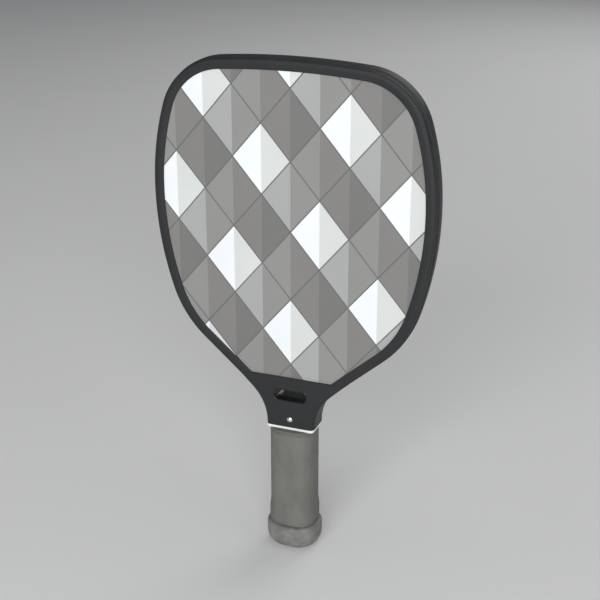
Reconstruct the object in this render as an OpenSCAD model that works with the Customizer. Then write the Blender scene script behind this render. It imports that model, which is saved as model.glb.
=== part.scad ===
// Pickleball paddle: a honeycomb panel with composite faces, a ribbed edge guard, a slotted throat
// and a wrapped handle. Units are millimetres. X is across the face, +Y points to the rear face
// and +Z runs from the butt to the top of the head. The origin is the bottom centre of the butt.

/* [Overall] */
// Length from the butt to the top of the edge guard
paddle_len = 386; // [380:1:392]
// Thickness over the edge guard's two lips
guard_t = 18.8; // [18:0.2:20.4]

/* [Head outline: arcs from the top centre down the right side] */
// Radius of the top crown
crown_r = 620; // [560:10:680]
// Turn of the top crown, in degrees
crown_turn = 5; // [4.8:0.1:5.2]
// Radius of the upper corner
corner_r = 50.5; // [49:0.5:52]
// Turn of the upper corner, in degrees
corner_turn = 67.9; // [67.5:0.1:68.3]
// Radius of the upper side
side_r = 210; // [200:5:220]
// Turn of the upper side, in degrees
side_turn = 14.8; // [14.4:0.1:15.2]
// Radius of the lower side
lower_r = 252; // [246:1:258]
// Turn of the lower side, in degrees
lower_turn = 20.4; // [20:0.1:20.8]
// Radius of the lower corner
hip_r = 84; // [82:0.5:86]
// Turn of the lower corner, in degrees
hip_turn = 30.7; // [30.3:0.1:31.1]
// Length of the straight shoulder
shoulder_len = 50.1; // [49:0.1:51]
// Radius of the hollow between the shoulder and the handle
throat_r = 39; // [37:0.5:41]

/* [Panel] */
// Thickness of the honeycomb core
core_t = 14.6; // [13:0.1:14.8]
// Thickness of each face sheet
sheet_t = 0.5; // [0.4:0.1:0.6]
// Thickness of each adhesive, bond or printed film
film_t = 0.1; // [0.08:0.01:0.12]
// Width of the foam wall round the core
band_w = 9; // [6:1:12]
// Width of the tongue that runs down into the handle
tongue_w = 20; // [18:1:21]

/* [Edge guard] */
// Width of the lip that laps over the face, from the rim inwards
lip_w = 8.3; // [6.5:0.1:9]
// Thickness of the guard's wall outside the panel's rim
guard_wall = 2.2; // [1.8:0.1:2.6]
// Width of the raised rib along the middle of the rim
rib_w = 7.2; // [5:0.2:8.6]
// Height of the rib above the shoulders beside it
rib_h = 0.9; // [0.5:0.1:1.1]

/* [Throat] */
// Height of the playing area's straight lower edge
face_z = 146.6; // [145:0.2:149]
// Height of the collar ring's upper face
collar_z = 106.4; // [106:0.1:106.8]
// How far each cover flares out between the face and the collar
throat_flare = 1.9; // [1.2:0.1:2.4]
// Length of the slot inside its liner
slot_len = 25.6; // [22:0.2:27]
// Height of the slot inside its liner
slot_h = 8; // [7:0.2:10]
// Corner radius of the slot inside its liner
slot_r = 3; // [2.5:0.5:3.5]
// Height of the slot's middle above the butt
slot_z = 132.2; // [131:0.2:133]
// Wall of the slot liner
liner_t = 1; // [0.8:0.1:1.2]
// Height of the rivet above the butt
rivet_z = 112.5; // [112:0.5:113.5]
// Diameter of the rivet's heads
rivet_d = 4.4; // [3.6:0.2:5]

/* [Handle] */
// Width of the wrapped grip
grip_w = 35.6; // [35:0.1:36.2]
// Depth of the wrapped grip, front to rear
grip_d = 30.8; // [30.2:0.1:31.4]
// Corner radius of the wrapped grip
grip_r = 12.5; // [12.5:0.1:12.8]
// Thickness of the soft wrap on the flats
wrap_t = 0.8; // [0.7:0.05:0.9]
// Thickness of the foam backing under the wrap
cushion_t = 1.2; // [1:0.05:1.3]
// How far the doubled turn of wrap swells above the butt cap
swell = 0.9; // [0.5:0.1:1.1]
// Width of the butt cap
butt_w = 42.6; // [42:0.1:44]
// Depth of the butt cap, front to rear
butt_d = 37.4; // [37:0.1:39]
// Height of the butt cap
butt_h = 21; // [20:0.5:22]

/* [Hidden] */
$fn = 48;

far = 500;                    // longer than any cut has to be
over = 1;                     // how far a cut runs past the face that it opens
ring_points = 28;             // points round each rounded rectangle
edge_tape_t = 0.2;            // tape between the panel's rim and the guard
panel_in = guard_wall + edge_tape_t;
core_y = core_t / 2;          // each layer's outer face, from the middle plane
bond_y = core_y + film_t;
sheet_y = bond_y + sheet_t;
panel_y = sheet_y + film_t;
lip_y = guard_t / 2;
lip_round = 0.7;              // height of the softened edge of each lip
lip_step = 0.3;               // inset of each step in that edge
collar_h = 2.2;               // height of the collar ring
collar_in = 0.1;              // the ring's side stands this far inside the throat's
collar_out = 0.2;             // its front and rear stand this far outside
collar_r = 3;
collar_low = collar_z - collar_h;
cover_floor = 1.8;            // wall of a cover under the wide part of the panel
panel_low = collar_z + cover_floor;
tongue_low = 8;
foot_low = 5.5;               // bottom of the pallets' foot
foot_h = 13.5;
foot_in = 2.6;                // wall of the butt cap round the foot
foot_r = 14;
film_low = 140;               // the film ends under the throat covers
film_gap = 0.4;
shaft_d = 2.4;                // rivet shaft
rivet_dome = 0.9;
dome_root = 0.1;              // how far each head goes into its cover
cap_shaft = 1;                // length of the rear cap's own stub of shaft
adhesive_t = 0.2;
butt_gap = 0.2;               // seam between the butt cap and the wrap
wrap_low = butt_h + butt_gap;
wrap_foot = 0.2;              // growth of the wrap's lower edge
swell_low = wrap_low + 5;
swell_high = wrap_low + 11;
swell_top = 42;
band_low = collar_low - 3.2;  // finishing band
band_step = 0.01;             // height of the wrap's step under the finishing band
finish_t = 0.3;
butt_round = 11;              // radius between the cap's side and its underside
butt_flat = 1;                // what the cap's corners lack of a full half round
bevel_h = 2.5;                // softened upper edge of the cap: where it starts,
bevel_mid_h = 1;              // its middle step,
bevel_mid_in = 0.4;
bevel_in = 1.4;               // and its inset at the top
badge_d = 15;
badge_t = 1.2;
staple_wire = 1;
staple_span = 9;
staple_leg = 5.8;             // each leg ends inside its pallet, below the tongue
staple_in = 3;                // from the face sheets' plane towards the middle
arc_steps = [4, 16, 6, 8, 8, 1, 12];

// ---- Outline of the head and throat -----------------------------------------------------------

// Each run is [radius, turn in degrees, straight length]; a hollow has both signs reversed.
throat_turn = crown_turn + corner_turn + side_turn + lower_turn + hip_turn - 90;
runs = [
    [crown_r, crown_turn, 0],
    [corner_r, corner_turn, 0],
    [side_r, side_turn, 0],
    [lower_r, lower_turn, 0],
    [hip_r, hip_turn, 0],
    [0, 0, shoulder_len],
    [-throat_r, -throat_turn, 0]
];

// A station is [x, z, heading]. This one lies the fraction f along a run that starts at station s.
function station(s, run, f) = [
    s[0] + run[0] * (sin(s[2] + f * run[1]) - sin(s[2])) + f * run[2] * cos(s[2]),
    s[1] + run[0] * (cos(s[2] + f * run[1]) - cos(s[2])) - f * run[2] * sin(s[2]),
    s[2] + f * run[1]
];
function run_start(i) = i == 0 ? [0, paddle_len, 0] : station(run_start(i - 1), runs[i - 1], 1);

// The right half, moved out along its own normal by d.
function half_rim(d) = [
    for (i = [0 : len(runs) - 1]) let (s = run_start(i))
        for (k = [0 : arc_steps[i] - 1]) let (p = station(s, runs[i], k / arc_steps[i]))
            [p[0] + d * sin(p[2]), p[1] + d * cos(p[2])]
];
throat_end = run_start(len(runs));

// The whole rim, carried straight down from the end of the hollow to the collar.
function rim(d) = both_sides(concat(half_rim(d), [
    [throat_end[0] + d, throat_end[1]], [throat_end[0] + d, collar_low]
]));

// Half-width at height z of the straight shoulder moved out by d.
shoulder = run_start(5);
function shoulder_x(z, d) = let (
    along = (shoulder[1] + d * cos(shoulder[2]) - z) / sin(shoulder[2])
) shoulder[0] + d * sin(shoulder[2]) + along * cos(shoulder[2]);

// ---- Shared shapes ----------------------------------------------------------------------------

// Draws a flat X-Z shape as a plate from y0 to y1.
module plate(y0, y1) {
    rotate([90, 0, 0]) translate([0, 0, -y1]) linear_extrude(y1 - y0) children();
}

// The part of a flat X-Z shape between two heights.
module between(z0, z1) {
    intersection() {
        children();
        translate([-far / 2, z0]) square([far, z1 - z0]);
    }
}

// Points of a rounded rectangle about the origin.
function rounded(w, h, r) = [
    for (q = [0 : 3]) for (k = [0 : 6]) let (
        a = 90 * q + 15 * k,
        sx = (q == 0 || q == 3) ? 1 : -1,
        sy = q < 2 ? 1 : -1
    ) [sx * (w / 2 - r) + r * cos(a), sy * (h / 2 - r) + r * sin(a)]
];

// Points of an octagon with chamfer c, grown on every side by g.
function octagon(w, h, c, g) = let (
    x = w / 2 + g,
    y = h / 2 + g,
    k = c + g * (2 - sqrt(2))
) [[x, k - y], [x, y - k], [x - k, y], [k - x, y], [-x, y - k], [-x, k - y], [k - x, -y], [x - k, -y]];

// A solid through rounded rectangles, each [height, width, depth, corner radius], lowest first.
module loft(sections) {
    n = ring_points;
    last = (len(sections) - 1) * n;
    polyhedron(
        points = [for (s = sections) for (p = rounded(s[1], s[2], s[3])) [p[0], p[1], s[0]]],
        faces = concat(
            [[for (j = [0 : n - 1]) j], [for (j = [n - 1 : -1 : 0]) last + j]],
            [
                for (i = [0 : n : last - n]) for (j = [0 : n - 1]) let (k = (j + 1) % n)
                    [i + n + j, i + n + k, i + k, i + j]
            ]
        )
    );
}

module slot_2d(grow) {
    translate([0, slot_z])
        polygon(rounded(slot_len + 2 * grow, slot_h + 2 * grow, slot_r + grow));
}

module rivet_hole() {
    rotate([90, 0, 0]) translate([0, rivet_z, -far / 2]) cylinder(d = shaft_d, h = far);
}

// Mirrors a right half, listed from top to bottom, into a whole outline.
function both_sides(half) = concat(half, [
    for (i = [len(half) - 1 : -1 : 0]) if (half[i][0] > 0) [-half[i][0], half[i][1]]
]);

// Right half of the panel from its neck down to the end of the tongue.
neck_and_tongue = [
    [throat_end[0] - panel_in, panel_low], [tongue_w / 2, panel_low], [tongue_w / 2, tongue_low]
];

// Head and tongue of one panel layer, without the slot and the rivet's hole.
module panel_2d() {
    polygon(both_sides(concat(
        [for (p = half_rim(-panel_in)) if (p[1] > panel_low) p],
        neck_and_tongue
    )));
}

module panel_layer(y0, y1) {
    difference() {
        plate(y0, y1) difference() {
            panel_2d();
            slot_2d(liner_t);
        }
        rivet_hole();
    }
}

module graphic_layer(y0, y1) {
    plate(y0, y1) between(film_low, far) difference() {
        polygon(rim(-panel_in));
        slot_2d(liner_t);
    }
}

module throat_tape_layer(y0, y1) {
    difference() {
        plate(y0, y1) between(panel_low, film_low - film_gap) difference() {
            polygon(rim(-panel_in));
            slot_2d(liner_t);
        }
        rivet_hole();
    }
}

// ---- Panel ------------------------------------------------------------------------------------

// The head of the core, inside the foam wall.
module honeycomb_core() {
    head_d = -panel_in - band_w;
    color("white") plate(-core_y, core_y) polygon(both_sides(concat(
        [for (p = half_rim(head_d)) if (p[1] > face_z) p],
        [[shoulder_x(face_z, head_d), face_z]]
    )));
}

// The core's lower block: the neck round the slot, and the tongue that runs down into the handle.
module throat_core_block() {
    color("white") difference() {
        plate(-core_y, core_y) difference() {
            polygon(both_sides(concat(
                [[shoulder_x(face_z, -panel_in), face_z]],
                [for (p = half_rim(-panel_in)) if (p[1] < face_z && p[1] > panel_low) p],
                neck_and_tongue
            )));
            slot_2d(liner_t);
        }
        rivet_hole();
    }
}

module core_edge_band() {
    color("gainsboro") plate(-core_y, core_y) between(face_z, far) difference() {
        polygon(rim(-panel_in));
        polygon(rim(-panel_in - band_w));
    }
}

module front_bond_film() {
    color("wheat") panel_layer(-bond_y, -core_y);
}

module rear_bond_film() {
    color("wheat") panel_layer(core_y, bond_y);
}

module front_face_sheet() {
    color([0.25, 0.26, 0.27]) panel_layer(-sheet_y, -bond_y);
}

module rear_face_sheet() {
    color([0.25, 0.26, 0.27]) panel_layer(bond_y, sheet_y);
}

module front_graphic_film() {
    color([0.72, 0.73, 0.73]) graphic_layer(-panel_y, -sheet_y);
}

module rear_graphic_film() {
    color([0.72, 0.73, 0.73]) graphic_layer(sheet_y, panel_y);
}

// ---- Edge guard -------------------------------------------------------------------------------

module edge_guard_tape() {
    color("ivory") plate(-panel_y, panel_y) between(face_z, far) difference() {
        polygon(rim(-guard_wall));
        polygon(rim(-panel_in));
    }
}

// One layer of the guard: the rim moved out by d, open inside the rim moved in by inner.
module guard_layer(y0, y1, d, inner) {
    plate(y0, y1) between(face_z, far) difference() {
        polygon(rim(d));
        polygon(rim(-inner));
    }
}

module edge_guard() {
    soft_y = lip_y - lip_round;
    color([0.2, 0.2, 0.21]) union() {
        guard_layer(-rib_w / 2, rib_w / 2, 0, guard_wall);
        for (side = [-1, 1]) {
            low = side > 0 ? rib_w / 2 : -panel_y;
            high = side > 0 ? panel_y : -rib_w / 2;
            guard_layer(low, high, -rib_h, guard_wall);
            flat_low = side > 0 ? panel_y : -soft_y;
            flat_high = side > 0 ? soft_y : -panel_y;
            guard_layer(flat_low, flat_high, -rib_h - lip_step, lip_w);
            soft_low = side > 0 ? soft_y : -lip_y;
            soft_high = side > 0 ? lip_y : -soft_y;
            guard_layer(soft_low, soft_high, -rib_h - lip_step - lip_round, lip_w - lip_step);
        }
    }
}

// ---- Throat -----------------------------------------------------------------------------------

// Half of the throat's outside, flaring towards the collar. side is -1 at the front, 1 at the rear.
module throat_half(side) {
    intersection() {
        plate(min(0, side * far / 2), max(0, side * far / 2))
            between(collar_z, face_z) polygon(rim(0));
        rotate([90, 0, 90]) translate([0, 0, -far / 2]) linear_extrude(far)
            polygon([
                [0, collar_z], [side * (lip_y + throat_flare), collar_z],
                [side * lip_y, face_z], [0, face_z]
            ]);
    }
}

module throat_cover(side) {
    difference() {
        throat_half(side);
        plate(-panel_y, panel_y) panel_2d();
        plate(-far / 2, far / 2) slot_2d(liner_t);
        rivet_hole();
    }
}

module front_throat_cover() {
    color([0.22, 0.23, 0.24]) throat_cover(-1);
}

module rear_throat_cover() {
    color([0.22, 0.23, 0.24]) throat_cover(1);
}

module front_throat_tape() {
    color("ivory") throat_tape_layer(-panel_y, -sheet_y);
}

module rear_throat_tape() {
    color("ivory") throat_tape_layer(sheet_y, panel_y);
}

// The liner's ends follow the covers' sloping faces.
module throat_slot_liner() {
    flare_at_slot = throat_flare * (face_z - slot_z - slot_h / 2 - liner_t) / (face_z - collar_z);
    liner_y = lip_y + flare_at_slot;
    color([0.1, 0.1, 0.11]) plate(-liner_y, liner_y) difference() {
        slot_2d(liner_t);
        slot_2d(0);
    }
}

// How far the cover's face stands from the middle plane at the rivet.
rivet_y = lip_y + throat_flare * (face_z - rivet_z) / (face_z - collar_z);
dome_r = (rivet_d * rivet_d / 4 + rivet_dome * rivet_dome) / (2 * rivet_dome);

// A shallow dome on the cover's face, turned about the Y axis.
module rivet_head(side) {
    translate([0, side * rivet_y, rivet_z]) rotate([-90 * side, 0, 0]) rotate_extrude()
        intersection() {
            translate([0, rivet_dome - dome_r]) circle(r = dome_r, $fn = 96);
            translate([0, -dome_root]) square([rivet_d / 2, rivet_dome + dome_root]);
        }
}

module throat_rivet() {
    color("silver") union() {
        rivet_head(-1);
        translate([0, rivet_y - cap_shaft, rivet_z]) rotate([90, 0, 0])
            cylinder(d = shaft_d, h = 2 * rivet_y - cap_shaft);
    }
}

module throat_rivet_cap() {
    color("silver") union() {
        rivet_head(1);
        translate([0, rivet_y, rivet_z]) rotate([90, 0, 0]) cylinder(d = shaft_d, h = cap_shaft);
    }
}

module collar_trim_ring() {
    collar_w = 2 * (throat_end[0] - collar_in);
    collar_d = 2 * (lip_y + throat_flare + collar_out);
    color("white") translate([0, 0, collar_low]) linear_extrude(collar_h) difference() {
        polygon(rounded(collar_w, collar_d, collar_r));
        square([tongue_w, 2 * sheet_y], center = true);
    }
}

// ---- Handle -----------------------------------------------------------------------------------

pallet_w = grip_w - 2 * (wrap_t + cushion_t + adhesive_t);
pallet_d = grip_d - 2 * (wrap_t + cushion_t + adhesive_t);
chamfer = 8.5;                // octagon's corner cut
foot_w = butt_w - 2 * foot_in;
foot_d = butt_d - 2 * foot_in;

module handle_section(grow) {
    polygon(octagon(pallet_w, pallet_d, chamfer, grow));
}

// Half of the handle's filler, shaped round the tongue, with a wider foot inside the butt cap.
module handle_pallet(side) {
    difference() {
        union() {
            translate([0, 0, foot_low]) linear_extrude(collar_low - foot_low) handle_section(0);
            translate([0, 0, foot_low]) linear_extrude(foot_h) polygon(rounded(foot_w, foot_d, foot_r));
        }
        translate([-far / 2, side > 0 ? -far : 0, -over]) cube([far, far, far]);
        translate([-tongue_w / 2, -sheet_y, tongue_low]) cube([tongue_w, 2 * sheet_y, far]);
        staples();
    }
}

module front_handle_pallet() {
    color("tan") handle_pallet(-1);
}

module rear_handle_pallet() {
    color("tan") handle_pallet(1);
}

// A sleeve of the handle's own section, from z0 to z1, between two growths of the octagon.
module sleeve(z0, z1, inner, outer) {
    translate([0, 0, z0]) linear_extrude(z1 - z0) difference() {
        handle_section(outer);
        handle_section(inner);
    }
}

module grip_adhesive_layer() {
    color("ivory") sleeve(wrap_low, collar_low, 0, adhesive_t);
}

module grip_cushion() {
    color("dimgray") sleeve(wrap_low, collar_low, adhesive_t, adhesive_t + cushion_t);
}

// The wrap's outside at height z, grown by g.
function grip_ring(z, g) = [z, grip_w + 2 * g, grip_d + 2 * g, grip_r + g];

module grip_wrap() {
    color([0.42, 0.42, 0.41]) difference() {
        loft([
            grip_ring(wrap_low, wrap_foot), grip_ring(swell_low, swell), grip_ring(swell_high, swell),
            grip_ring(swell_top, 0), grip_ring(band_low, 0),
            grip_ring(band_low + band_step, -finish_t), grip_ring(collar_low, -finish_t)
        ]);
        translate([0, 0, wrap_low - over]) linear_extrude(far) handle_section(adhesive_t + cushion_t);
    }
}

module grip_finishing_band() {
    color([0.36, 0.36, 0.35]) translate([0, 0, band_low]) linear_extrude(collar_low - band_low)
        difference() {
            polygon(rounded(grip_w, grip_d, grip_r));
            polygon(rounded(grip_w - 2 * finish_t, grip_d - 2 * finish_t, grip_r - finish_t));
        }
}

// ---- Butt -------------------------------------------------------------------------------------

// The cap's rounded outside at height z, inset from its full size.
function butt_ring(z, inset) = [z, butt_w - 2 * inset, butt_d - 2 * inset, butt_d / 2 - inset - butt_flat];

module butt_cap() {
    color([0.44, 0.44, 0.43]) difference() {
        loft(concat(
            [for (a = [90 : -15 : 0]) butt_ring(butt_round * (1 - sin(a)), butt_round * (1 - cos(a)))],
            [
                butt_ring(butt_h - bevel_h, 0), butt_ring(butt_h - bevel_mid_h, bevel_mid_in),
                butt_ring(butt_h, bevel_in)
            ]
        ));
        translate([0, 0, foot_low]) linear_extrude(foot_h) polygon(rounded(foot_w, foot_d, foot_r));
        translate([0, 0, foot_low + over]) linear_extrude(far) handle_section(0);
        translate([0, 0, -over]) cylinder(d = badge_d, h = badge_t + over);
        staples();
    }
}

module butt_badge() {
    color([0.5, 0.5, 0.5]) cylinder(d = badge_d, h = badge_t);
}

// Two wire staples driven up through the cap's floor, one into each pallet.
module staples() {
    for (side = [-1, 1]) translate([0, side * (sheet_y - staple_in), badge_t]) {
        translate([-staple_span / 2, -staple_wire / 2, 0]) cube([staple_span, staple_wire, staple_wire]);
        for (end = [-1, 1]) translate([end * (staple_span - staple_wire) / 2, 0, staple_wire / 2])
            cylinder(d = staple_wire, h = staple_leg);
    }
}

module butt_cap_staples() {
    color("silver") staples();
}

// ---- Parts ------------------------------------------------------------------------------------

honeycomb_core();
throat_core_block();
core_edge_band();
front_bond_film();
rear_bond_film();
front_face_sheet();
rear_face_sheet();
front_graphic_film();
rear_graphic_film();
edge_guard_tape();
edge_guard();
front_throat_cover();
rear_throat_cover();
front_throat_tape();
rear_throat_tape();
throat_slot_liner();
throat_rivet();
throat_rivet_cap();
collar_trim_ring();
front_handle_pallet();
rear_handle_pallet();
grip_adhesive_layer();
grip_cushion();
grip_wrap();
grip_finishing_band();
butt_cap();
butt_badge();
butt_cap_staples();
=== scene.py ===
"""Looks of a pickleball paddle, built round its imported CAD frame.

Shapes are worked out in millimetres and turned to metres when a mesh is made. X runs across the
face, +Y towards the rear face and +Z from the butt to the top of the head.
"""
import math

import bmesh
import bpy
import numpy as np
from mathutils import Matrix, Vector


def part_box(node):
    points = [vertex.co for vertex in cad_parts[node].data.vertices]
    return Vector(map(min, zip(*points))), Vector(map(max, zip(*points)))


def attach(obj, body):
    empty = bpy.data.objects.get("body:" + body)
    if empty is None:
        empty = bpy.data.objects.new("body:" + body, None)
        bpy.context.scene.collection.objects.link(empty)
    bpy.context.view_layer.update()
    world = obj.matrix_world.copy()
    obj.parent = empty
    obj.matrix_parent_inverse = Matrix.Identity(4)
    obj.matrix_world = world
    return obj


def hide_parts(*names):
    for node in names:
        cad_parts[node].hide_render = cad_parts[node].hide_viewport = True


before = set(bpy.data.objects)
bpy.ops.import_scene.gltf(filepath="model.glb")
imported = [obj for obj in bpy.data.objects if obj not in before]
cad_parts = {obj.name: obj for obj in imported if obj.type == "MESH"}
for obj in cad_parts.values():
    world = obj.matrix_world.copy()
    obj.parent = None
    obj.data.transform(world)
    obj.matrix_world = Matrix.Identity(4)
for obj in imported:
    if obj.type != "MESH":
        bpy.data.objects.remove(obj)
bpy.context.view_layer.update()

MM = 0.001
BODY = "root"


def cad_mm(node):
    """The lowest and highest corner of a CAD node, in millimetres."""
    low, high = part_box(node)
    return low / MM, high / MM


# ---- Sizes taken from the frame -----------------------------------------------------------------

PADDLE_TOP = cad_mm("edge_guard")[1].z
LIP_Y = cad_mm("edge_guard")[1].y
PANEL_Y = cad_mm("rear_graphic_film")[1].y
SHEET_Y = cad_mm("rear_face_sheet")[1].y
FILM_LOW = cad_mm("front_graphic_film")[0].z
FACE_Z = cad_mm("edge_guard")[0].z
COLLAR_Z = cad_mm("collar_trim_ring")[1].z
COLLAR_LOW = cad_mm("collar_trim_ring")[0].z
COLLAR_HALF = cad_mm("collar_trim_ring")[1]
FLARE = cad_mm("rear_throat_cover")[1].y - LIP_Y
GRIP_LOW = cad_mm("grip_wrap")[0].z
BAND_LOW = cad_mm("grip_finishing_band")[0].z
GRIP_HALF = cad_mm("grip_finishing_band")[1]
BUTT_HIGH = cad_mm("butt_cap")[1]
SLOT_HALF = cad_mm("throat_slot_liner")[1]
SLOT_LOW = cad_mm("throat_slot_liner")[0].z

# ---- Outline of the head and throat -------------------------------------------------------------

# Each run is [radius, turn in degrees, straight length, steps], from the top centre down the right
# side: crown, upper corner, upper side, lower side, lower corner, straight shoulder and hollow.
THROAT_TURN = 48.8
RUNS = [
    (620, 5.0, 0, 16),
    (50.5, 67.9, 0, 48),
    (210, 14.8, 0, 24),
    (252, 20.4, 0, 28),
    (84, 30.7, 0, 30),
    (0, 0, 50.1, 12),
    (-39, -THROAT_TURN, 0, 28),
]
PANEL_IN = 2.4      # from the outline to the panel's rim
GUARD_WALL = 2.2
LIP_W = 8.3
RIB_HALF = 3.6      # half width of the rib along the middle of the rim
RIB_H = 0.9
PAST_FACE = 10      # how far a sweep runs on below the playing area before it is cut off


def station(start, run, f):
    """[x, z, heading] at the fraction f of a run that starts at start."""
    radius, turn, straight, _ = run
    a, b = math.radians(start[2]), math.radians(start[2] + f * turn)
    x = start[0] + radius * (math.sin(b) - math.sin(a)) + f * straight * math.cos(a)
    z = start[1] + radius * (math.cos(b) - math.cos(a)) - f * straight * math.sin(a)
    return (x, z, start[2] + f * turn)


def right_stations():
    """Stations down the right half of the outline, from the top centre to the handle."""
    start, found = (0.0, PADDLE_TOP, 0.0), []
    for run in RUNS:
        found += [station(start, run, k / run[3]) for k in range(run[3])]
        start = station(start, run, 1.0)
    return found + [start]


RIGHT = right_stations()
AROUND = [(-x, z, -h) for x, z, h in reversed(RIGHT[1:])] + RIGHT


def moved(s, d):
    """The point (x, z) at a station, moved out along the outline's normal by d."""
    h = math.radians(s[2])
    return (s[0] + d * math.sin(h), s[1] + d * math.cos(h))


def half_width(z):
    """Half width of the outline at height z below the head's widest place."""
    low = [s for s in RIGHT if s[2] >= 90]
    return float(np.interp(z, [s[1] for s in reversed(low)], [s[0] for s in reversed(low)]))


# ---- Small geometry helpers ---------------------------------------------------------------------


def ease(t):
    t = min(1, max(0, t))
    return t * t * (3 - 2 * t)


def rounded(points, radii, steps=6):
    """A closed outline with its corners rounded. radii has one radius per corner."""
    out = []
    for i, (corner, r) in enumerate(zip(points, radii)):
        p = Vector(corner)
        to_a = (Vector(points[i - 1]) - p)
        to_b = (Vector(points[(i + 1) % len(points)]) - p)
        if r <= 0:
            out.append(tuple(p))
            continue
        to_a.normalize()
        to_b.normalize()
        half = to_a.angle(to_b) / 2
        reach = r / math.tan(half)
        centre = p + (to_a + to_b).normalized() * (r / math.sin(half))
        a, b = p + to_a * reach - centre, p + to_b * reach - centre
        sweep = math.pi - 2 * half
        for k in range(steps + 1):
            t = k / steps
            mix = (a * math.sin((1 - t) * sweep) + b * math.sin(t * sweep)) / math.sin(sweep)
            out.append(tuple(centre + mix))
    return out


def rounded_box(half_x, half_y, r, steps=10):
    """A rounded rectangle about the origin, with the same number of points at any size."""
    out = []
    for quarter in range(4):
        cx = (half_x - r) * (1 if quarter in (0, 3) else -1)
        cy = (half_y - r) * (1 if quarter < 2 else -1)
        for k in range(steps + 1):
            a = math.radians(90 * (quarter + k / steps))
            out.append((cx + r * math.cos(a), cy + r * math.sin(a)))
    return out


def make_piece(name, points, faces, material, nodes, sharp=38):
    """Makes a piece of the paddle from points in millimetres, standing for the named CAD nodes."""
    mesh = bpy.data.meshes.new(name)
    mesh.from_pydata([[c * MM for c in p] for p in points], [], faces)
    bm = bmesh.new()
    bm.from_mesh(mesh)
    bmesh.ops.remove_doubles(bm, verts=bm.verts, dist=1e-7)
    bmesh.ops.recalc_face_normals(bm, faces=bm.faces)
    bm.to_mesh(mesh)
    bm.free()
    piece = bpy.data.objects.new(name, mesh)
    bpy.context.scene.collection.objects.link(piece)
    smooth(mesh, sharp)
    mesh.materials.append(material)
    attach(piece, BODY)
    if nodes:
        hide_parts(*nodes)
    return piece


def smooth(mesh, sharp):
    mesh.polygons.foreach_set("use_smooth", [True] * len(mesh.polygons))
    mesh.set_sharp_from_angle(angle=math.radians(sharp))


def loft(rings, closed=False):
    """Points and faces through rings of 3-D points, capped at both ends unless the rings close up."""
    n = len(rings[0])
    points = [p for ring in rings for p in ring]
    spans = len(rings) if closed else len(rings) - 1
    faces = []
    for i in range(spans):
        a, b = i * n, (i + 1) % len(rings) * n
        faces += [(a + j, a + (j + 1) % n, b + (j + 1) % n, b + j) for j in range(n)]
    if not closed:
        faces.append(tuple(reversed(range(n))))
        faces.append(tuple(range(len(points) - n, len(points))))
    return points, faces


def cut_away(piece, cutters):
    """Cuts other objects out of a piece and removes them."""
    for cutter in cutters:
        change = piece.modifiers.new("cut", "BOOLEAN")
        change.object = cutter
        change.operation = "DIFFERENCE"
        change.solver = "EXACT"
    bpy.context.view_layer.update()
    shape = piece.evaluated_get(bpy.context.evaluated_depsgraph_get())
    mesh = bpy.data.meshes.new_from_object(shape)
    piece.modifiers.clear()
    piece.data = mesh
    for cutter in cutters:
        bpy.data.objects.remove(cutter)
    smooth(mesh, 38)


def cutter(points, faces):
    """A plain object to cut with, in millimetres."""
    mesh = bpy.data.meshes.new("cutter")
    mesh.from_pydata([[c * MM for c in p] for p in points], [], faces)
    bm = bmesh.new()
    bm.from_mesh(mesh)
    bmesh.ops.recalc_face_normals(bm, faces=bm.faces)
    bm.to_mesh(mesh)
    bm.free()
    thing = bpy.data.objects.new("cutter", mesh)
    bpy.context.scene.collection.objects.link(thing)
    return thing


def prism(outline, y0, y1):
    """Points and faces of an X-Z outline drawn from y0 to y1."""
    return loft([[(x, y, z) for x, z in outline] for y in (y0, y1)])


# ---- Materials ----------------------------------------------------------------------------------


def grey(level, tint=(0, 0, 0)):
    """A linear colour from an sRGB level out of 255, with a small tint in the same levels."""
    out = []
    for t in tint:
        c = (level + t) / 255
        out.append(c / 12.92 if c <= 0.04045 else ((c + 0.055) / 1.055) ** 2.4)
    return (*out, 1)


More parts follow.
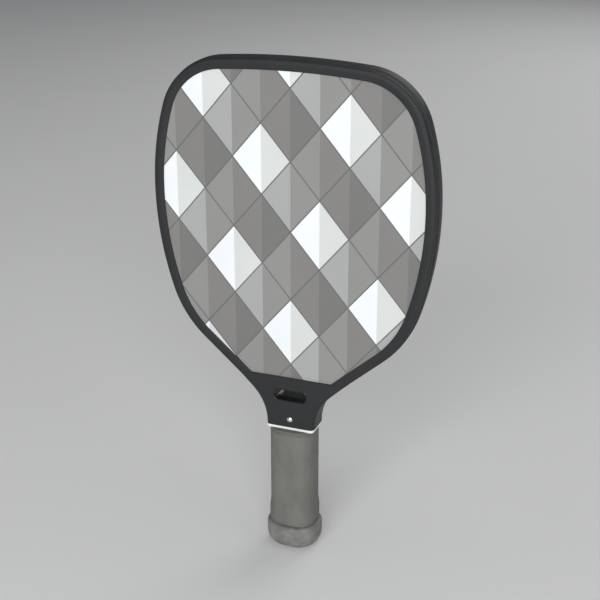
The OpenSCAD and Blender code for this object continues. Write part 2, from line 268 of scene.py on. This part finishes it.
class Surface:
    """A material made of nodes, with short ways to add its parts."""

    def __init__(self, name, colour, roughness, specular=0.5):
        self.material = bpy.data.materials.new(name)
        self.material.use_nodes = True
        self.tree = self.material.node_tree
        self.shader = self.tree.nodes["Principled BSDF"]
        self.shader.inputs["Base Color"].default_value = colour
        self.shader.inputs["Roughness"].default_value = roughness
        self.shader.inputs["Specular IOR Level"].default_value = specular
        self.place = self.tree.nodes.new("ShaderNodeTexCoord").outputs["Object"]
        self.bumped = None

    def link(self, out, into):
        self.tree.links.new(out, into)

    def noise(self, scale, detail=3, rough=0.55, stretch=(1, 1, 1)):
        """Noise of that many cells to the metre, stretched along the axes."""
        mapping = self.tree.nodes.new("ShaderNodeMapping")
        mapping.inputs["Scale"].default_value = stretch
        self.link(self.place, mapping.inputs["Vector"])
        node = self.tree.nodes.new("ShaderNodeTexNoise")
        node.inputs["Scale"].default_value = scale
        node.inputs["Detail"].default_value = detail
        node.inputs["Roughness"].default_value = rough
        self.link(mapping.outputs["Vector"], node.inputs["Vector"])
        return node.outputs["Fac"]

    def span(self, value, low, high, to_low, to_high):
        """value from low..high mapped to to_low..to_high."""
        node = self.tree.nodes.new("ShaderNodeMapRange")
        for name, number in zip(("From Min", "From Max", "To Min", "To Max"), (low, high, to_low, to_high)):
            node.inputs[name].default_value = number
        self.link(value, node.inputs["Value"])
        return node.outputs["Result"]

    def mix(self, value, a, b):
        """Colour a where value is 0 and b where it is 1. Either may be a colour or an output."""
        node = self.tree.nodes.new("ShaderNodeMix")
        node.data_type = "RGBA"
        self.link(value, node.inputs["Factor"])
        for socket, colour in ((node.inputs["A"], a), (node.inputs["B"], b)):
            if isinstance(colour, tuple):
                socket.default_value = colour
            else:
                self.link(colour, socket)
        return node.outputs["Result"]

    def colour(self, out):
        self.link(out, self.shader.inputs["Base Color"])

    def roughness(self, out):
        self.link(out, self.shader.inputs["Roughness"])

    def bump(self, height, distance, strength=1.0):
        """Adds a bump of that depth in metres on top of any before it."""
        node = self.tree.nodes.new("ShaderNodeBump")
        node.inputs["Strength"].default_value = strength
        node.inputs["Distance"].default_value = distance
        self.link(height, node.inputs["Height"])
        if self.bumped:
            self.link(self.bumped, node.inputs["Normal"])
        self.bumped = node.outputs["Normal"]
        self.link(self.bumped, self.shader.inputs["Normal"])


def mottled(name, colour, amount, scale, roughness, grain, depth, specular=0.5, stretch=(1, 1, 1)):
    """A plain material whose colour drifts by amount and whose surface has a grain of that depth."""
    s = Surface(name, colour, roughness, specular)
    dark = tuple(c * (1 - amount) for c in colour[:3]) + (1,)
    light = tuple(min(1, c * (1 + amount)) for c in colour[:3]) + (1,)
    drift = s.noise(scale, 4, 0.6, stretch)
    s.colour(s.mix(s.span(drift, 0.3, 0.7, 0, 1), dark, light))
    fine = s.noise(grain, 2, 0.5, stretch)
    s.roughness(s.span(fine, 0.25, 0.75, roughness - 0.06, roughness + 0.06))
    s.bump(fine, depth)
    return s


def ink(name, level, tint):
    """A satin printed ink over the face's faint grit."""
    colour = grey(level, tint)
    s = Surface("ink_" + name, colour, 0.5, 0.3)
    grit = s.noise(2600, 2, 0.6)
    drift = s.noise(16, 3, 0.5)
    pale = tuple(min(1, c * 1.03) for c in colour[:3]) + (1,)
    dim = tuple(c * 0.96 for c in colour[:3]) + (1,)
    speckle = s.mix(s.span(grit, 0.35, 0.65, 0, 1), dim, colour)
    s.colour(s.mix(s.span(drift, 0.35, 0.65, 0, 1), speckle, pale))
    s.roughness(s.span(grit, 0.3, 0.7, 0.44, 0.56))
    s.bump(grit, 0.00002)
    return s.material


INKS = {
    "white": (241, (-2, 2, 5)),
    "pale": (215, (-1, 2, 1)),
    "light": (168, (-1, 1, 0)),
    "panel": (143, (0, 1, -1)),
    "mid": (129, (1, 0, -2)),
    "wedge": (119, (0, 0, -1)),
    "seam": (104, (0, 1, -1)),
}
ink_of = {name: ink(name, *value) for name, value in INKS.items()}


def guard_material():
    s = mottled("guard_plastic", (0.022, 0.023, 0.0245, 1), 0.10, 60, 0.50, 1800, 0.00003, 0.3)
    scuff = s.noise(240, 5, 0.7, (1, 3, 1))
    base = s.shader.inputs["Base Color"].links[0].from_socket
    s.colour(s.mix(s.span(scuff, 0.66, 0.8, 0, 0.5), base, (0.06, 0.061, 0.063, 1)))
    return s.material


def grip_material(name, level):
    """Soft wrap: a fine leather-like grain, with faint smudges from the hand."""
    colour = grey(level, (0, 1, -4))
    s = Surface(name, colour, 0.6, 0.3)
    smudge = s.noise(70, 4, 0.6, (1, 1, 0.5))
    spot = s.noise(150, 2, 0.5, (1, 1, 0.7))
    worn = s.mix(s.span(smudge, 0.38, 0.62, 0, 1), tuple(c * 0.84 for c in colour[:3]) + (1,), colour)
    s.colour(s.mix(s.span(spot, 0.64, 0.76, 0, 0.6), worn, tuple(c * 0.6 for c in colour[:3]) + (1,)))
    grain = s.noise(1500, 3, 0.6)
    s.roughness(s.span(grain, 0.3, 0.7, 0.52, 0.68))
    s.bump(smudge, 0.0004, 0.35)
    s.bump(grain, 0.00006)
    return s.material


def butt_material():
    """Moulded soft rubber with paler rubbed patches and small pits."""
    colour = grey(122, (0, 1, -3))
    s = Surface("butt_rubber", colour, 0.55, 0.35)
    blotch = s.noise(110, 4, 0.6)
    pit = s.noise(420, 2, 0.5)
    rubbed = s.mix(s.span(blotch, 0.35, 0.65, 0, 1), tuple(c * 0.78 for c in colour[:3]) + (1,),
                   tuple(c * 1.22 for c in colour[:3]) + (1,))
    s.colour(s.mix(s.span(pit, 0.66, 0.76, 0, 0.5), rubbed, tuple(c * 0.55 for c in colour[:3]) + (1,)))
    fine = s.noise(1700, 2, 0.5)
    s.roughness(s.span(blotch, 0.3, 0.7, 0.62, 0.46))
    s.bump(blotch, 0.0006, 0.4)
    s.bump(fine, 0.00004)
    return s.material


def metal_material():
    s = mottled("plated_steel", (0.80, 0.80, 0.79, 1), 0.04, 300, 0.24, 4000, 0.000004)
    s.shader.inputs["Metallic"].default_value = 1.0
    return s.material


def honeycomb_material():
    """White polypropylene with the cells of a honeycomb showing as a faint pattern of walls."""
    s = Surface("honeycomb_plastic", (0.82, 0.83, 0.82, 1), 0.5)
    cells = s.tree.nodes.new("ShaderNodeTexVoronoi")
    cells.feature = "DISTANCE_TO_EDGE"
    cells.inputs["Scale"].default_value = 125
    cells.inputs["Randomness"].default_value = 0.1
    s.link(s.place, cells.inputs["Vector"])
    wall = s.span(cells.outputs["Distance"], 0.0, 0.08, 1, 0)
    s.colour(s.mix(wall, (0.62, 0.64, 0.63, 1), (0.86, 0.87, 0.86, 1)))
    s.bump(wall, 0.0002)
    return s.material


def woven_material():
    """Woven composite: two crossed sets of ribs under a thin resin skin."""
    s = Surface("woven_composite", (0.03, 0.03, 0.033, 1), 0.35)
    ribs = []
    for direction in ("X", "Z"):
        wave = s.tree.nodes.new("ShaderNodeTexWave")
        wave.bands_direction = direction
        wave.inputs["Scale"].default_value = 160
        s.link(s.place, wave.inputs["Vector"])
        ribs.append(wave.outputs["Fac"])
    both = s.tree.nodes.new("ShaderNodeMath")
    both.operation = "MULTIPLY"
    s.link(ribs[0], both.inputs[0])
    s.link(ribs[1], both.inputs[1])
    s.colour(s.mix(both.outputs[0], (0.018, 0.018, 0.020, 1), (0.06, 0.06, 0.064, 1)))
    s.bump(both.outputs[0], 0.00008)
    s.shader.inputs["Coat Weight"].default_value = 0.4
    return s.material


GUARD = guard_material()
THROAT = mottled("throat_plastic", (0.022, 0.0235, 0.0245, 1), 0.06, 40, 0.46, 3200, 0.00002, 0.3).material
GRIP = grip_material("grip_wrap_soft", 116)
# The finishing band uses the grip's material in a darker grey: painted shade under the collar ring.
BAND = grip_material("finishing_band_painted_shade", 104)
RUBBER = butt_material()
METAL = metal_material()
LINER = mottled("liner_gloss", (0.012, 0.012, 0.013, 1), 0.1, 90, 0.16, 900, 0.00001, 0.6).material
COLLAR = mottled("collar_white", (0.86, 0.87, 0.87, 1), 0.03, 120, 0.34, 1500, 0.00001, 0.5).material
BADGE = mottled("badge_plastic", (0.19, 0.19, 0.185, 1), 0.08, 150, 0.45, 1400, 0.00003).material
FOAM = mottled("cell_foam", (0.62, 0.55, 0.42, 1), 0.12, 400, 0.85, 1400, 0.0003, 0.2).material
CUSHION = mottled("foam_backing", (0.05, 0.05, 0.05, 1), 0.15, 300, 0.9, 1800, 0.0002, 0.2).material
ADHESIVE = mottled("adhesive_film", (0.70, 0.66, 0.54, 1), 0.08, 200, 0.4, 900, 0.00003).material

# ---- Printed face -------------------------------------------------------------------------------

# A plain generic print: equal diamonds over the whole face, each in two tones of one grey.
DIAMOND_W, DIAMOND_H = 44.0, 52.0
LATTICE_Z = 262.0   # height of one row of knots
SEAM_W = 0.9        # dark line between two diamonds
MERGE = 0.02        # cuts that meet closer together than this become one point
TONES = [("white", "pale"), ("mid", "wedge"), ("light", "panel"), ("panel", "mid")]
PITCH = 1 / math.hypot(1 / DIAMOND_W, 1 / DIAMOND_H)    # between parallel lines of the lattice


def film_outline():
    """The film's outline, from its straight lower edge round the head."""
    right = [moved(s, -PANEL_IN) for s in RIGHT]
    right = [p for p in right if p[1] > FILM_LOW]
    edge = half_width(FILM_LOW) - PANEL_IN
    half = right + [(edge, FILM_LOW)]
    return half + [(-x, z) for x, z in reversed(half) if x > 0]


def ink_at(x, z):
    """The ink of the lattice at a point of the face."""
    across, up = x / DIAMOND_W, (z - LATTICE_Z) / DIAMOND_H
    u, v = across + up, across - up
    if min(abs(u - round(u)), abs(v - round(v))) * PITCH < SEAM_W / 2:
        return "seam"
    i, j = math.floor(u), math.floor(v)
    left, right = TONES[(i + 2 * j) % len(TONES)]
    return left if across < (i + j + 1) / 2 else right


def lattice_cuts():
    """Every line of the print, as (point, normal) in X-Z: both sides of each seam, and the middles."""
    reach = 12
    cuts = []
    for slope in (1, -1):
        normal = Vector((1 / DIAMOND_W, slope / DIAMOND_H)).normalized()
        for n in range(-reach, reach + 1):
            for side in (-SEAM_W / 2, SEAM_W / 2):
                cuts.append((Vector((0, LATTICE_Z)) + normal * (n * PITCH + side), normal))
    for n in range(-reach, reach + 1):
        cuts.append((Vector((n * DIAMOND_W / 2, 0)), Vector((1, 0))))
    return cuts


def printed_film(name, side, node):
    """A thin film with the print on its outer face. side is -1 at the front and 1 at the rear."""
    y = side * PANEL_Y * MM
    bm = bmesh.new()
    bm.faces.new([bm.verts.new((x * MM, y, z * MM)) for x, z in film_outline()])
    for point, normal in lattice_cuts():
        everything = bm.verts[:] + bm.edges[:] + bm.faces[:]
        bmesh.ops.bisect_plane(bm, geom=everything, plane_co=(point.x * MM, y, point.y * MM),
                               plane_no=(normal.x, 0, normal.y))
    bmesh.ops.remove_doubles(bm, verts=bm.verts, dist=MERGE * MM)
    bmesh.ops.dissolve_degenerate(bm, edges=bm.edges, dist=MERGE * MM)
    inks = list(INKS)
    for face in bm.faces:
        middle = face.calc_center_median() / MM
        face.material_index = inks.index(ink_at(middle.x, middle.z))
    solid = bmesh.ops.extrude_face_region(bm, geom=bm.faces[:])
    back = [v for v in solid["geom"] if isinstance(v, bmesh.types.BMVert)]
    bmesh.ops.translate(bm, verts=back, vec=(0, side * (SHEET_Y - PANEL_Y) * MM, 0))
    bmesh.ops.recalc_face_normals(bm, faces=bm.faces)
    mesh = bpy.data.meshes.new(name)
    bm.to_mesh(mesh)
    bm.free()
    for used in inks:
        mesh.materials.append(ink_of[used])
    film = bpy.data.objects.new(name, mesh)
    bpy.context.scene.collection.objects.link(film)
    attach(film, BODY)
    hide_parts(node)


printed_film("front_printed_film", -1, "front_graphic_film")
printed_film("rear_printed_film", 1, "rear_graphic_film")

# ---- Edge guard ---------------------------------------------------------------------------------


def guard_profile():
    """The guard's section as (out from the outline, across), closed, with its edges rounded."""
    shoulder = -RIB_H
    half = [
        (0.0, RIB_HALF - 0.5, 0.5),
        (shoulder - 0.35, RIB_HALF, 0.25),
        (shoulder - 0.35, RIB_HALF + 0.9, 0.25),
        (shoulder, RIB_HALF + 1.4, 0.5),
        (shoulder, LIP_Y - 0.2, 1.3),
        (-4.2, LIP_Y, 1.2),
        (-LIP_W, LIP_Y - 0.35, 0.45),
        (-LIP_W, PANEL_Y + 0.02, 0),
        (-GUARD_WALL, PANEL_Y + 0.02, 0),
    ]
    corners = half + [(n, -y, r) for n, y, r in reversed(half)]
    return rounded([c[:2] for c in corners], [c[2] for c in corners], 5)


def edge_guard():
    profile = guard_profile()
    path = [s for s in AROUND if s[1] > FACE_Z - PAST_FACE]
    rings = []
    for s in path:
        ring = []
        for n, y in profile:
            x, z = moved(s, n)
            ring.append((x, y, z))
        rings.append(ring)
    points, faces = loft(rings)
    guard = make_piece("edge_guard_shell", points, faces, GUARD, ["edge_guard"], 30)
    bm = bmesh.new()
    bm.from_mesh(guard.data)
    everything = bm.verts[:] + bm.edges[:] + bm.faces[:]
    cut = bmesh.ops.bisect_plane(bm, geom=everything, plane_co=(0, 0, FACE_Z * MM), plane_no=(0, 0, -1),
                                 clear_outer=True)
    rim_edges = [e for e in cut["geom_cut"] if isinstance(e, bmesh.types.BMEdge)]
    bmesh.ops.triangle_fill(bm, use_beauty=True, edges=rim_edges)
    bmesh.ops.recalc_face_normals(bm, faces=bm.faces)
    bm.to_mesh(guard.data)
    bm.free()
    smooth(guard.data, 30)


edge_guard()

# ---- Throat -------------------------------------------------------------------------------------

SLOT_R = 4.0        # corner radius of the liner's outside
SLOT_MID = (SLOT_HALF.z + SLOT_LOW) / 2
SLOT_WALL = 1.0
SLOT_LIP = 0.12     # how far the sleeve stands proud of the covers
COVER_FLOOR = 1.8   # wall of a cover under the wide part of the panel
TONGUE_HALF = 10.0
FAR = 20            # further from the middle plane than anything in the throat
RIB_FADE = 14.0     # the guard's rib runs out into the covers over this height


def cover_y(z):
    """How far a cover's face stands from the middle plane at height z."""
    return LIP_Y + FLARE * (FACE_Z - z) / (FACE_Z - COLLAR_Z)


def slot_ring(grow, y, steps=10):
    """The slot liner's outside as a ring at y, grown by grow."""
    half_z = (SLOT_HALF.z - SLOT_LOW) / 2
    flat = rounded_box(SLOT_HALF.x + grow, half_z + grow, SLOT_R + grow, steps)
    return [(x, y, SLOT_MID + z) for x, z in flat]


def panel_block():
    """The space inside the covers that the panel and the tongue take up."""
    low, neck = COLLAR_Z + COVER_FLOOR, TONGUE_HALF
    right = [p for p in (moved(s, -PANEL_IN) for s in RIGHT) if low < p[1] < FACE_Z + 6]
    half = [(right[0][0], FACE_Z + 8)] + right + [(right[-1][0], low), (neck, low), (neck, COLLAR_Z - 5)]
    outline = half + [(-x, z) for x, z in reversed(half)]
    return cutter(*prism(outline, -PANEL_Y, PANEL_Y))


def throat_cover(name, side, node):
    """Half of the throat's moulding, with a soft edge that widens towards the collar.

    Both halves are made as the rear one, and the front one is its mirror image.
    """
    rings = []
    heights = sorted({s[1] for s in RIGHT if COLLAR_Z < s[1] < FACE_Z} | {FACE_Z, COLLAR_Z})
    for z in heights:
        down = (FACE_Z - z) / (FACE_Z - COLLAR_Z)
        x, y, r = half_width(z), cover_y(z), 2.6 + 1.6 * down
        rib = (x, RIB_HALF)
        x -= RIB_H * (1 - ease((FACE_Z - z) / RIB_FADE))
        quarter = [(x - r + r * math.cos(a), y - r + r * math.sin(a))
                   for a in (math.radians(9 * k) for k in range(11))]
        right = [(rib[0], 0), rib, (x, RIB_HALF + 0.9)] + quarter
        half = right + [(-px, py) for px, py in reversed(right)]
        rings.append([(px, py, z) for px, py in half])
    points, faces = loft(rings)
    cover = make_piece(name, points, faces, THROAT, [node])
    cut_away(cover, [panel_block(), cutter(*loft([slot_ring(0, -FAR), slot_ring(0, FAR)]))])
    if side < 0:
        cover.data.transform(Matrix.Diagonal((1, -1, 1, 1)))
        cover.data.flip_normals()


throat_cover("front_throat_shell", -1, "front_throat_cover")
throat_cover("rear_throat_shell", 1, "rear_throat_cover")


def slot_liner():
    """A glossy sleeve whose two rims stand a little proud of the sloping covers."""
    section = rounded([(0, -1), (0, 1), (-SLOT_WALL, 1), (-SLOT_WALL, -1)], [0.45] * 4, 5)
    outer = slot_ring(0, 0)
    inner = slot_ring(-SLOT_WALL, 0)
    rings = []
    for a, b in zip(outer, inner):
        reach = cover_y(a[2]) + SLOT_LIP
        ring = []
        for n, y in section:
            t = -n / SLOT_WALL
            y_mm = math.copysign(reach - (1 - abs(y)), y)
            ring.append((a[0] + (b[0] - a[0]) * t, y_mm, a[2] + (b[2] - a[2]) * t))
        rings.append(ring)
    points, faces = loft(rings, closed=True)
    make_piece("throat_slot_sleeve", points, faces, LINER, ["throat_slot_liner"], 40)


slot_liner()


def collar_ring():
    """The white trim ring under the throat, with soft edges."""
    edge, r = 0.5, 3.0
    low, high = COLLAR_LOW, COLLAR_Z
    rings = []
    for z, inset in ((low, 3.5), (low, edge), (low + edge * 0.3, edge * 0.3), (low + edge, 0),
                     (high - edge, 0), (high - edge * 0.3, edge * 0.3), (high, edge), (high, 3.5)):
        flat = rounded_box(COLLAR_HALF.x - inset, COLLAR_HALF.y - inset, max(r - inset, 0.8))
        rings.append([(x, y, z) for x, y in flat])
    points, faces = loft(rings, closed=True)
    make_piece("collar_trim", points, faces, COLLAR, ["collar_trim_ring"])


collar_ring()

# ---- Handle -------------------------------------------------------------------------------------

GRIP_R = 12.5
WRAP_T = 0.8
SWELL = 0.9
SWELL_LOW, SWELL_HIGH, SWELL_END = 26.2, 32.2, 42.0
BAND_T = 0.3
EDGE_H = 0.8        # height of the wrap's turned-in lower edge
WRAP_FOOT = 0.2     # how far the wrap stands out at its lower edge
BAND_TURN = 4.2     # how far the band turns in over the handle's end, under the collar


def swell_at(z):
    """How far the doubled turn of wrap stands out at height z."""
    rise = WRAP_FOOT + (SWELL - WRAP_FOOT) * ease((z - GRIP_LOW) / (SWELL_LOW - GRIP_LOW))
    fall = 1 - ease((z - SWELL_HIGH) / (SWELL_END - SWELL_HIGH))
    return rise * fall


def grip_ring(z, grow):
    flat = rounded_box(GRIP_HALF.x + grow, GRIP_HALF.y + grow, GRIP_R + grow, 12)
    return [(x, y, z) for x, y in flat]


def wrap_edge(z):
    """The turned-in lower edge of the wrap."""
    t = min(1, (z - GRIP_LOW) / EDGE_H)
    return -0.7 * (1 - math.sqrt(max(0, 1 - (1 - t) ** 2)))


def grip_wrap():
    low = [GRIP_LOW + EDGE_H * k / 5 for k in range(5)]
    body = list(np.arange(GRIP_LOW + EDGE_H, BAND_LOW, EDGE_H)) + [BAND_LOW]
    outer = [grip_ring(z, swell_at(z) + wrap_edge(z)) for z in low + body]
    outer += [grip_ring(BAND_LOW, -BAND_T), grip_ring(COLLAR_LOW, -BAND_T)]
    inner = [grip_ring(COLLAR_LOW, -WRAP_T), grip_ring(GRIP_LOW, -WRAP_T)]
    points, faces = loft(outer + inner, closed=True)
    wrap = make_piece("grip_wrap_soft", points, faces, GRIP, ["grip_wrap"])


grip_wrap()


def finishing_band():
    """The thin band that holds the wrap's end, turned in over the handle's end under the collar."""
    top = COLLAR_LOW + BAND_T
    profile = [(BAND_LOW, -0.12), (BAND_LOW + 0.15, 0), (COLLAR_LOW - 0.2, 0), (COLLAR_LOW + 0.1, -0.12),
               (top, -0.5), (top, -BAND_TURN), (COLLAR_LOW, -BAND_TURN), (COLLAR_LOW, -BAND_T),
               (BAND_LOW, -BAND_T)]
    rings = [grip_ring(z, grow) for z, grow in profile]
    points, faces = loft(rings, closed=True)
    # Its darker grey is painted shade under the collar ring.
    make_piece("finishing_band", points, faces, BAND, ["grip_finishing_band"])


finishing_band()


BUTT_ROUND = 11.0   # radius between the cap's side and its underside
BUTT_FLAT = 1       # what the cap's corners lack of a full half round
BUTT_WALL = 5       # wall and floor of the cap


def butt_ring(z, inset):
    flat = rounded_box(BUTT_HIGH.x - inset, BUTT_HIGH.y - inset, max(BUTT_HIGH.y - inset - BUTT_FLAT, 1), 14)
    return [(x, y, z) for x, y in flat]


def butt_cap():
    """The soft cap: a rounded underside, a full side and a bevel up to the wrap's seam."""
    top = BUTT_HIGH.z
    rings = []
    for k in range(13):
        a = math.radians(90 - 7.5 * k)
        rings.append(butt_ring(BUTT_ROUND * (1 - math.sin(a)), BUTT_ROUND * (1 - math.cos(a))))
    bulge = [(top - 2.5, 0), (top - 1.6, 0.12), (top - 0.9, 0.45), (top - 0.35, 0.95), (top, 1.6)]
    rings += [butt_ring(z, inset) for z, inset in bulge]
    rings += [butt_ring(top, BUTT_WALL), butt_ring(BUTT_WALL, BUTT_WALL)]
    points, faces = loft(rings)
    cap = make_piece("butt_cap_rubber", points, faces, RUBBER, ["butt_cap"])
    badge = cad_mm("butt_badge")[1]
    hole = [[(badge.x * math.cos(a), badge.x * math.sin(a), z)
             for a in (math.tau * k / 64 for k in range(64))] for z in (-1, badge.z)]
    cut_away(cap, [cutter(*loft(hole))])


butt_cap()

# ---- Carried-over CAD nodes ---------------------------------------------------------------------

KEPT = {
    "honeycomb_core": honeycomb_material(),
    "front_face_sheet": woven_material(),
    "butt_badge": BADGE,
    "grip_cushion": CUSHION,
    "core_edge_band": FOAM,
    "front_handle_pallet": FOAM,
    "rear_handle_pallet": FOAM,
    "throat_rivet": METAL,
    "throat_rivet_cap": METAL,
    "butt_cap_staples": METAL,
}
KEPT["throat_core_block"] = KEPT["honeycomb_core"]
KEPT["rear_face_sheet"] = KEPT["front_face_sheet"]
for node in ("front_bond_film", "rear_bond_film", "edge_guard_tape", "front_throat_tape",
             "rear_throat_tape", "grip_adhesive_layer"):
    KEPT[node] = ADHESIVE
for node, material in KEPT.items():
    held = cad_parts[node]
    held.data.materials.clear()
    held.data.materials.append(material)

# ---- Floor, lights and camera -------------------------------------------------------------------


def floor():
    mesh = bpy.data.meshes.new("floor")
    size = 9
    mesh.from_pydata([(-size, -size, 0), (size, -size, 0), (size, size, 0), (-size, size, 0)], [],
                     [(0, 1, 2, 3)])
    plane = bpy.data.objects.new("floor", mesh)
    bpy.context.scene.collection.objects.link(plane)
    s = mottled("pale_floor", (0.90, 0.90, 0.90, 1), 0.01, 2, 0.8, 300, 0.00005, 0.2)
    mesh.materials.append(s.material)


def area_light(name, place, size, power, target=(0, 0, 0.2)):
    data = bpy.data.lights.new(name, "AREA")
    data.shape = "RECTANGLE"
    data.size, data.size_y = size
    data.energy = power
    lamp = bpy.data.objects.new(name, data)
    lamp.location = place
    lamp.rotation_euler = (Vector(target) - Vector(place)).to_track_quat("-Z", "Y").to_euler()
    bpy.context.scene.collection.objects.link(lamp)


def camera():
    """The viewing angle: 20.8 degrees to the right of the face and 22.5 degrees above it."""
    azimuth, elevation = math.radians(20.8), math.radians(22.5)
    distance, target = 0.9188, Vector((0.0043, 0, 0.2073))
    back = Vector((math.sin(azimuth) * math.cos(elevation), -math.cos(azimuth) * math.cos(elevation),
                   math.sin(elevation)))
    data = bpy.data.cameras.new("camera")
    data.lens = 75
    data.sensor_width = 36
    cam = bpy.data.objects.new("camera", data)
    cam.location = target + back * distance
    cam.rotation_euler = (-back).to_track_quat("-Z", "Y").to_euler()
    bpy.context.scene.collection.objects.link(cam)
    bpy.context.scene.camera = cam


floor()
area_light("front", (0.5, -2.4, 1.0), (2.2, 1.8), 57)
area_light("left", (-2.0, -0.6, 0.9), (1.2, 1.6), 1.5)
area_light("right", (2.0, -0.6, 0.9), (1.2, 1.6), 3)
area_light("above", (0.2, 0.2, 2.4), (1.8, 1.8), 7)
area_light("rear", (0.6, 2.2, 1.4), (1.8, 1.4), 12)
camera()

world = bpy.data.worlds.new("studio")
world.use_nodes = True
world.node_tree.nodes["Background"].inputs["Color"].default_value = (0.95, 0.97, 1.0, 1)
world.node_tree.nodes["Background"].inputs["Strength"].default_value = 0.14
bpy.context.scene.world = world
bpy.context.scene.view_settings.view_transform = "Standard"
